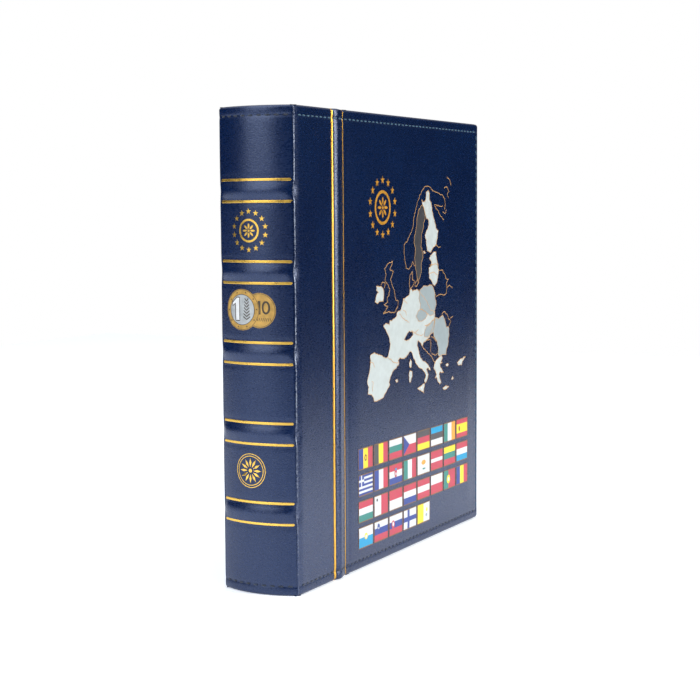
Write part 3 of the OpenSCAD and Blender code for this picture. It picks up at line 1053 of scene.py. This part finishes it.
# simple outlines of the printed map, in millimetres on the cover
mapWhite = {
    "mainland": [
        (86, 129), (89, 130), (92, 130), (100, 128), (106, 126), (110, 126), (112, 130),
        (113, 134), (112, 137), (110, 140), (107, 143), (104, 146), (108, 147), (112, 146),
        (113, 149), (116, 148), (121, 150), (123, 153), (128, 154), (130, 157), (132, 161),
        (136, 162), (140, 163), (141, 166), (143, 167), (145, 165), (149, 166), (152, 166),
        (155, 164), (165, 158), (172, 151), (178, 150), (178, 146), (176, 141), (170, 134),
        (165, 132), (161, 131), (159, 129), (157, 131), (153, 133), (151, 130), (154, 125),
        (157, 121), (160, 119), (163, 118), (168, 115), (171, 113), (171, 112), (167, 114),
        (165, 113), (168, 109), (166, 106), (163, 104), (162, 106), (164, 109), (162, 112),
        (158, 114), (153, 116), (149, 119), (146, 122), (144, 126), (141, 127), (138, 125),
        (133, 123), (127, 124), (124, 123), (125, 120), (121, 118), (117, 117), (113, 113),
        (111, 110), (113, 108), (109, 106), (105, 103), (103, 101), (97, 101), (92, 100),
        (90, 103), (88, 105), (83, 106), (84, 110), (82, 113), (85, 118), (86, 122), (87, 126)],
    "finland": [
        (158, 223), (161, 222), (163, 222), (165, 225), (165, 228), (168, 229), (170, 227),
        (170, 223), (173, 221), (174, 216), (176, 212), (179, 207), (180, 205), (183, 203),
        (182, 199), (180, 194), (175, 191), (170, 189), (167, 190), (165, 194), (165, 197),
        (163, 200), (166, 203), (169, 207), (169, 210), (165, 212), (163, 216), (160, 220)],
    "balticCoast": [
        (170, 185), (172, 187), (176, 189), (180, 189), (180, 186), (182, 182), (184, 178),
        (184, 175), (183, 173), (181, 169), (178, 167), (175, 168), (173, 170), (170, 172),
        (169, 176), (169, 179), (173, 180), (173, 183)],
    "ireland": [
        (93, 161), (96, 160), (100, 161), (104, 161), (105, 165), (104, 169), (101, 170),
        (98, 170), (95, 171), (95, 168), (98, 167), (94, 164)],
    "corsica": [(141, 122), (143, 120), (143, 117), (141, 116), (140, 119)],
    "sardinia": [(140, 115), (144, 114), (144, 110), (142, 107), (140, 107), (139, 111)],
    "sicily": [(152, 102), (157, 103), (162, 104), (161, 101), (161, 98), (157, 100), (153, 101)],
    "balearics": [(120, 110), (123, 111), (124, 109), (122, 109)],
    "greece": [
        (176, 113), (178, 117), (181, 118), (185, 119), (189, 120), (190, 118), (187, 116),
        (190, 115), (186, 115), (186, 113), (189, 111), (192, 108), (187, 109), (184, 108),
        (186, 105), (188, 102), (186, 101), (183, 103), (181, 106), (178, 106), (181, 108), (177, 112)],
    "crete": [(190, 98), (195, 99), (200, 98), (197, 97), (191, 97)],
    "eastIsland": [(213, 113), (216, 114), (220, 115), (228, 116), (222, 113), (221, 111), (216, 111)],
    "smallIslands": [(195, 113), (198, 114), (199, 113), (197, 112)],
    "rhodes": [(204, 103), (206, 104), (207, 103), (205, 102)],
    "gotland": [(161, 190), (163, 190), (164, 189), (162, 188)],
}
mapPale = {
    "poland": [
        (155, 165), (160, 167), (163, 168), (166, 167), (172, 168), (176, 166), (178, 163),
        (178, 159), (180, 157), (180, 154), (178, 151), (176, 148), (171, 148), (166, 150),
        (160, 152), (156, 153), (156, 157), (154, 160)],
    "czech": [
        (150, 149), (153, 152), (158, 153), (163, 151), (167, 149), (163, 146), (158, 145),
        (153, 145)],
    "hungary": [
        (162, 135), (163, 139), (167, 142), (172, 143), (177, 145), (178, 141), (176, 137),
        (171, 135), (166, 134)],
    "lowerDanube": [
        (178, 146), (184, 145), (187, 146), (190, 147), (193, 144), (195, 140), (197, 138),
        (200, 138), (200, 133), (199, 130), (199, 126), (196, 124), (195, 120), (190, 121),
        (186, 119), (183, 121), (183, 126), (181, 130), (177, 133), (176, 137), (178, 141)],
}
mapSlate = {
    "sweden": [
        (157, 219), (160, 220), (162, 218), (164, 213), (163, 210), (161, 208), (161, 205),
        (159, 202), (158, 198), (157, 193), (160, 189), (160, 186), (158, 183), (158, 178),
        (156, 174), (153, 171), (151, 175), (149, 180), (148, 186), (149, 192), (147, 197),
        (149, 202), (151, 207), (152, 213), (154, 217)],
}
mapLines = [
    [(133, 189), (133, 195), (137, 197), (140, 200), (143, 202), (146, 207), (147, 212), (150, 217),
     (152, 221), (155, 225), (158, 228), (162, 231), (167, 232), (171, 231), (176, 229), (181, 228),
     (186, 227), (190, 226), (193, 224), (194, 220), (193, 217)],
    [(133, 189), (134, 184), (136, 180), (139, 179), (143, 181), (145, 184), (148, 181)],
    [(104, 153), (110, 154), (116, 153), (121, 154), (124, 157), (124, 160), (121, 161), (119, 166),
     (116, 171), (114, 174), (118, 179), (113, 180), (117, 185), (111, 184), (106, 181), (108, 177),
     (106, 174), (110, 171), (113, 168), (112, 165), (109, 163), (110, 160), (105, 159), (110, 157),
     (104, 153)],
    [(101, 171), (103, 173), (107, 172), (106, 169)],
    [(140, 170), (141, 175), (145, 178), (144, 173), (148, 171), (145, 168), (141, 167), (140, 170)],
    [(148, 169), (151, 172), (154, 170), (150, 168), (148, 169)],
    [(177, 220), (184, 219), (190, 219)],
    [(178, 219), (183, 216), (187, 212), (192, 210)],
    [(190, 215), (194, 214), (196, 216)],
    [(192, 231), (197, 232), (200, 229), (197, 227), (199, 224)],
    [(197, 238), (200, 237), (203, 233)],
    [(178, 162), (180, 160), (186, 161), (192, 160), (196, 161), (197, 165), (201, 166), (206, 164)],
    [(184, 177), (190, 177), (193, 174), (196, 171), (199, 170), (196, 168), (197, 165)],
    [(189, 148), (193, 149), (197, 147), (199, 144), (203, 142), (200, 139)],
    [(202, 144), (207, 145)],
    [(157, 130), (161, 127), (167, 124), (172, 121), (177, 117), (179, 115)],
    [(161, 131), (167, 132), (171, 132), (172, 128), (171, 124)],
    [(172, 134), (176, 133), (180, 130)],
    [(173, 123), (178, 121), (182, 122)],
    [(180, 194), (184, 192), (187, 192)],
    [(86, 125), (90, 124), (92, 121)],
    [(88, 113), (90, 112), (89, 107)],
    [(110, 126), (116, 123), (122, 121), (125, 121)],
    [(126, 152), (131, 149), (135, 147), (140, 145)],
    [(131, 154), (135, 152), (136, 150)],
    [(132, 161), (134, 159), (137, 158)],
    [(143, 140), (148, 138), (153, 140)],
    [(148, 138), (154, 136), (160, 136)],
    [(163, 142), (168, 141), (172, 143), (178, 146)],
    [(170, 181), (176, 181), (183, 181)],
    [(169, 175), (176, 176), (182, 174)],
]
alpineGap = [(133, 135), (136, 138), (140, 140), (144, 139), (146, 137), (143, 136), (141, 135), (137, 134)]


coastLook = {"step": 1.0, "rough": 0.85, "reach": 1.7, "shoreLine": 0.34, "inlandLine": 0.38, "lift": 0.16}


# the outline with a small natural wobble along its shore
def coast(path, closed=True):
    points = closeRing(path, coastLook["step"])
    if not closed:
        points = points[:-max(int(math.dist(path[-1], path[0]) / coastLook["step"]), 1)] + [path[-1]]
    rough, reach = coastLook["rough"], coastLook["reach"]
    return [(x + rough * noise.noise(Vector((x / reach, z / reach, 1.7))),
             z + rough * noise.noise(Vector((x / reach, z / reach, 8.3)))) for x, z in points]


def makeMap():
    shoreLine, inlandLine, lineLift = coastLook["shoreLine"], coastLook["inlandLine"], coastLook["lift"]
    fields = (("shore", mapWhite, 0.04), ("paleBlue", mapPale, 0.10), ("slate", mapSlate, 0.10))
    for color, group, lift in fields:
        for name, outline in group.items():
            shore = coast(outline)
            fillFoil(ink(color), shore, lift, [coast(alpineGap)] if name == "mainland" else [])
            strokeFoil(ink("rim"), shore, shoreLine, lineLift, True, 1)
    strokeFoil(ink("rim"), coast(alpineGap), shoreLine, lineLift, True, 1)
    for line in mapLines:
        strokeFoil(ink("rim"), coast(line, False), inlandLine, lineLift, False, 1)


flags = {"x": 70.85, "z": 73.38, "stepX": 20.21, "stepZ": 16.09, "width": 17.96, "height": 12.29,
         "rimGap": 0.2, "rim": 0.60}


def bars(*colors, shares=None, upright=False):
    return ("bars", colors, shares or [1] * len(colors), upright)


flagRows = [
    [bars("blue", "yellow", "red", upright=True), bars("black", "yellow", "red", upright=True),
     bars("white", "green", "red"), ("wedge", "white", "red", "blue"),
     bars("black", "red", "yellow"), bars("sky", "black", "white"),
     bars("green", "white", "orange", upright=True), bars("red", "yellow", "red", shares=[1, 2, 1])],
    [bars(*["blue", "white"] * 4, "blue"), bars("blue", "white", "red", upright=True),
     bars("red", "white", "blue"), bars("green", "white", "red", upright=True),
     bars("white"), bars("red", "white", "red", shares=[2, 1, 2]),
     bars("yellow", "green", "red"), bars("red", "white", "sky")],
    [bars("red", "white", "green"), bars("white", "red", upright=True), bars("red", "white"),
     bars("red", "white", "blue"), bars("red", "white", "red"), bars("white", "red"),
     bars("green", "red", shares=[2, 3], upright=True), bars("blue", "yellow", "red", upright=True)],
    [bars("white", "sky"), bars("white", "blue", "red"), bars("white", "blue", "red"),
     ("cross", "white", "blue"), bars("yellow", "white", upright=True)],
]
# small plain marks: (row, column, colour, centre across, centre up, radius, stretch)
flagMarks = [
    (0, 0, "brown", 0.50, 0.52, 2.1, 0.75), (0, 0, "yellow", 0.50, 0.52, 1.1, 0.7),
    (0, 7, "brown", 0.26, 0.50, 1.7, 0.7), (0, 7, "red", 0.26, 0.50, 0.9, 0.7),
    (1, 2, "red", 0.50, 0.56, 3.0, 0.6), (1, 2, "sky", 0.50, 0.74, 0.8, 1.6),
    (1, 2, "white", 0.50, 0.50, 1.0, 0.8),
    (1, 4, "orange", 0.50, 0.60, 1.6, 2.0), (1, 4, "green", 0.52, 0.26, 0.55, 4.0),
    (2, 1, "slate", 0.20, 0.80, 0.9, 1.0), (2, 6, "yellow", 0.40, 0.50, 2.9, 0.9),
    (2, 6, "white", 0.40, 0.50, 1.4, 0.9), (3, 0, "yellow", 0.50, 0.52, 2.0, 1.0),
    (3, 0, "white", 0.50, 0.50, 1.1, 1.0), (3, 1, "blue", 0.30, 0.74, 1.9, 0.8),
    (3, 1, "white", 0.30, 0.66, 0.7, 0.9), (3, 2, "red", 0.28, 0.54, 2.6, 0.85),
    (3, 2, "white", 0.28, 0.56, 1.4, 0.85), (3, 4, "yellow", 0.76, 0.62, 1.4, 0.9),
    (3, 4, "paleBlue", 0.72, 0.34, 1.0, 1.2),
]


def makeFlags():
    w, h, gap = flags["width"], flags["height"], flags["rimGap"]
    for row, patterns in enumerate(flagRows):
        for column, pattern in enumerate(patterns):
            x0 = flags["x"] + column * flags["stepX"]
            z1 = flags["z"] - row * flags["stepZ"]
            z0 = z1 - h
            x1 = x0 + w
            if pattern[0] == "bars":
                colors, shares, upright = pattern[1:]
                total, at = sum(shares), 0
                for color, share in zip(colors, shares):
                    a, b = at / total, (at + share) / total
                    at += share
                    if upright:
                        fillFoil(ink(color), box2(x0 + w * a, z0, x0 + w * b, z1))
                    else:
                        fillFoil(ink(color), box2(x0, z1 - h * b, x1, z1 - h * a))
            elif pattern[0] == "wedge":
                tip = (x0 + w * 0.47, (z0 + z1) / 2)
                fillFoil(ink(pattern[1]), [(x0, z1), tip, (x1, tip[1]), (x1, z1)])
                fillFoil(ink(pattern[2]), [(x0, z0), (x1, z0), (x1, tip[1]), tip])
                fillFoil(ink(pattern[3]), [(x0, z0), tip, (x0, z1)])
            else:
                fillFoil(ink(pattern[1]), box2(x0, z0, x1, z1))
                fillFoil(ink(pattern[2]), box2(x0 + w * 0.30, z0, x0 + w * 0.46, z1), 0.10)
                fillFoil(ink(pattern[2]), box2(x0, z0 + h * 0.38, x1, z0 + h * 0.62), 0.16)
            rim = box2(x0 - gap, z0 - gap, x1 + gap, z1 + gap)
            strokeFoil(ink("brown"), rim, flags["rim"], 0.12, True, 3)
    x0, z1 = flags["x"], flags["z"] - flags["stepZ"]
    fillFoil(ink("blue"), box2(x0, z1 - h * 5 / 9, x0 + w * 0.37, z1), 0.10)
    fillFoil(ink("white"), box2(x0 + w * 0.15, z1 - h * 5 / 9, x0 + w * 0.22, z1), 0.16)
    fillFoil(ink("white"), box2(x0, z1 - h * 3 / 9, x0 + w * 0.37, z1 - h * 2 / 9), 0.20)
    seen = {}
    for row, column, color, across, up, radius, stretch in flagMarks:
        x = flags["x"] + column * flags["stepX"] + w * across
        z = flags["z"] - row * flags["stepZ"] - h * (1 - up)
        seen[(row, column)] = seen.get((row, column), 0) + 1
        fillFoil(ink(color), circle(x, z, radius, 20, stretch), 0.06 * (1 + seen[(row, column)]))


makeStarRing()
makeMap()
makeFlags()
for sheet in inkSheets.values():
    finishFoil(sheet, "front_cover")
print("album: cover print made")


spinePrint = {
    "ring": {"s": 27.8, "z": 206.0, "radius": 10.7, "stars": 14, "star": 1.75, "flower": 6.0},
    "bigCoin": {"s": 33.1, "z": 161.8, "radius": 11.6, "core": 8.4},
    "smallCoin": {"s": 21.5, "z": 161.6, "radius": 9.85},
    "mark": {"s": 28.6, "z": 70.8, "size": 9.6},
}
coinLook = {
    "ink": {"color": (0.60, 0.36, 0.085), "rough": 0.38, "metal": 0.25, "grain": 0.2, "vary": 0.35},
    "shade": {"color": (0.05, 0.035, 0.02), "rough": 0.5},
    "bright": {"color": (0.80, 0.83, 0.84), "rough": 0.34, "metal": 0.1},
}


# a plain figure one, size high
def digitOne(x, z, size):
    return [(x - 0.12 * size, z - size / 2), (x + 0.12 * size, z - size / 2),
            (x + 0.12 * size, z + size / 2), (x - 0.04 * size, z + size / 2),
            (x - 0.30 * size, z + size * 0.28), (x - 0.30 * size, z + size * 0.12),
            (x - 0.12 * size, z + size * 0.24)]


def makeSpinePrint():
    # the print reads from the left, so across runs against the arc
    def face(x, z, lift=0.0):
        return spinePoint(-x, z, lift)

    ring = spinePrint["ring"]
    foil = newFoil("spineStarRing", face, gold, 0.08)
    starsAndFlower(foil, ring, -ring["s"], 1.5)
    finishFoil(foil, "spine")

    small, big = spinePrint["smallCoin"], spinePrint["bigCoin"]
    coinInk = printMaterial("coinInk", **coinLook["ink"])
    coin = newFoil("spineSmallCoin", face, coinInk, 0.06)
    fillFoil(coin, circle(-small["s"], small["z"], small["radius"], 60), 0.03, grid=2)
    finishFoil(coin, "spine")
    relief = newFoil("spineCoinRelief", face, printMaterial("coinShade", **coinLook["shade"]), 0.05)
    strokeFoil(relief, circle(-small["s"], small["z"], small["radius"] - 0.5, 60), 0.25, 0.11, True)
    sx = -small["s"] + 2.2
    fillFoil(relief, digitOne(sx - 2.4, small["z"] + 1.6, 7.6), 0.11, grid=2)
    strokeFoil(relief, circle(sx + 1.8, small["z"] + 1.6, 3.2, 26, 0.62), 1.1, 0.11, True, 1)
    for k in range(7):
        strokeFoil(relief, [(sx - 3.6 + k * 1.3, small["z"] - 4.2), (sx - 3.0 + k * 1.3, small["z"] - 6.0)],
                   0.35, 0.11, False, 1)
    outer = newFoil("spineBigCoinRing", face, coinInk, 0.06)
    fillFoil(outer, circle(-big["s"], big["z"], big["radius"], 72), 0.13, grid=2)
    finishFoil(outer, "spine")
    core = newFoil("spineBigCoinCore", face, silver, 0.06)
    fillFoil(core, circle(-big["s"], big["z"], big["core"], 60), 0.20, grid=2)
    finishFoil(core, "spine")
    strokeFoil(relief, circle(-big["s"], big["z"], big["radius"] - 0.4, 72), 0.22, 0.20, True)
    strokeFoil(relief, circle(-big["s"], big["z"], big["core"] + 0.15, 60), 0.28, 0.27, True)
    number = digitOne(-big["s"] - 3.0, big["z"] + 0.4, 13.0)
    bright = newFoil("spineCoinNumber", face, printMaterial("coinBright", **coinLook["bright"]), 0.04)
    fillFoil(bright, number, 0.27, grid=1.5)
    finishFoil(bright, "spine")
    strokeFoil(relief, number, 0.50, 0.33, True, 1)
    for k in range(7):  # a plain ear of grain beside the number
        z = big["z"] - 5.4 + 1.7 * k
        for way in (-1, 1):
            strokeFoil(relief, [(-big["s"] + 3.4, z), (-big["s"] + 3.4 + way * (2.4 - 0.2 * k), z + 1.6)],
                       0.55, 0.27, False, 1)
    for k in range(10):
        a = math.radians(110 + 36 * k)
        star = starOutline(-big["s"] + 10.0 * math.cos(a), big["z"] + 10.0 * math.sin(a), 0.65)
        fillFoil(relief, star, 0.20, grid=1)
    finishFoil(relief, "spine")

    mark = spinePrint["mark"]
    foil = newFoil("spineRosette", face, gold, 0.06)
    for r in (mark["size"], mark["size"] - 1.3):
        strokeFoil(foil, circle(-mark["s"], mark["z"], r, 64), 0.38, 0.05, True, 1.5)
    for k in range(12):
        a = math.radians(30 * k)
        fillFoil(foil, [(-mark["s"] + r * math.cos(a + b), mark["z"] + r * math.sin(a + b))
                        for r, b in ((2.0, 0), (4.6, 0.16), (7.2, 0), (4.6, -0.16))], 0.05, grid=1.5)
    fillFoil(foil, circle(-mark["s"], mark["z"], 1.1, 20), 0.05, grid=1.5)
    finishFoil(foil, "spine")


makeSpinePrint()
print("album: spine print made")


sheetLook = {"columns": 4, "rows": 5, "coinRadius": 15.5, "line": 0.5,
             "innerGap": 2.2, "innerLine": 0.25, "lift": 0.005, "weld": 1.4}
pageInk = printMaterial("pageSilverInk", (0.62, 0.64, 0.68), 0.5)


# round coin places printed on both faces of a sheet's card, and pocket welds in the film
def makeSheetPrint(k):
    low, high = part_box("sheet_%d_card" % k)
    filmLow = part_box("sheet_%d_pocket" % k)[0]
    body = "sheet_%d" % k
    wide, tall = high.x - low.x, high.z - low.z
    for name, y, way in (("Front", low.y, -1), ("Back", high.y, 1)):
        def face(x, z, lift=0.0, y=y, way=way):
            return Vector((x * mm, y + way * lift * mm, z * mm))

        foil = newFoil("sheet%dCoinPlaces%s" % (k, name), face, pageInk, 0.02)
        for i in range(sheetLook["columns"]):
            for j in range(sheetLook["rows"]):
                x = (low.x + wide * (i + 0.5) / sheetLook["columns"]) / mm
                z = (low.z + tall * (j + 0.5) / sheetLook["rows"]) / mm
                radius, lift = sheetLook["coinRadius"], sheetLook["lift"]
                strokeFoil(foil, circle(x, z, radius, 48), sheetLook["line"], lift, True, 3)
                inner = radius - sheetLook["innerGap"]
                strokeFoil(foil, circle(x, z, inner, 44), sheetLook["innerLine"], lift, True, 3)
        finishFoil(foil, body)

    def filmFace(x, z, lift=0.0):
        return Vector((x * mm, filmLow.y - lift * mm, z * mm))

    weld = newFoil("sheet%dWelds" % k, filmFace, film, 0.12)
    for i in range(sheetLook["columns"] + 1):
        x = (low.x + wide * i / sheetLook["columns"]) / mm
        strokeFoil(weld, [(x, low.z / mm), (x, high.z / mm)], sheetLook["weld"], 0.0, False, 12)
    for j in range(sheetLook["rows"] + 1):
        z = (low.z + tall * j / sheetLook["rows"]) / mm
        strokeFoil(weld, [(low.x / mm, z), (high.x / mm, z)], sheetLook["weld"], 0.0, False, 12)
    finishFoil(weld, body)


for k in range(1, 6):
    makeSheetPrint(k)


def dress(node, material):
    mesh = frame["nodes"][node].data
    mesh.materials.clear()
    mesh.materials.append(material)


slotLook = {"leather": leather, "padding": foam, "board": cardboard, "lining": lining,
            "steel": steel, "ring": ringSteel, "film": film, "card": pageCard}
for part in frame["record"]["subparts"]:
    dress(part["node"], slotLook[part["material_slot"]])
print("album: inside dressed")
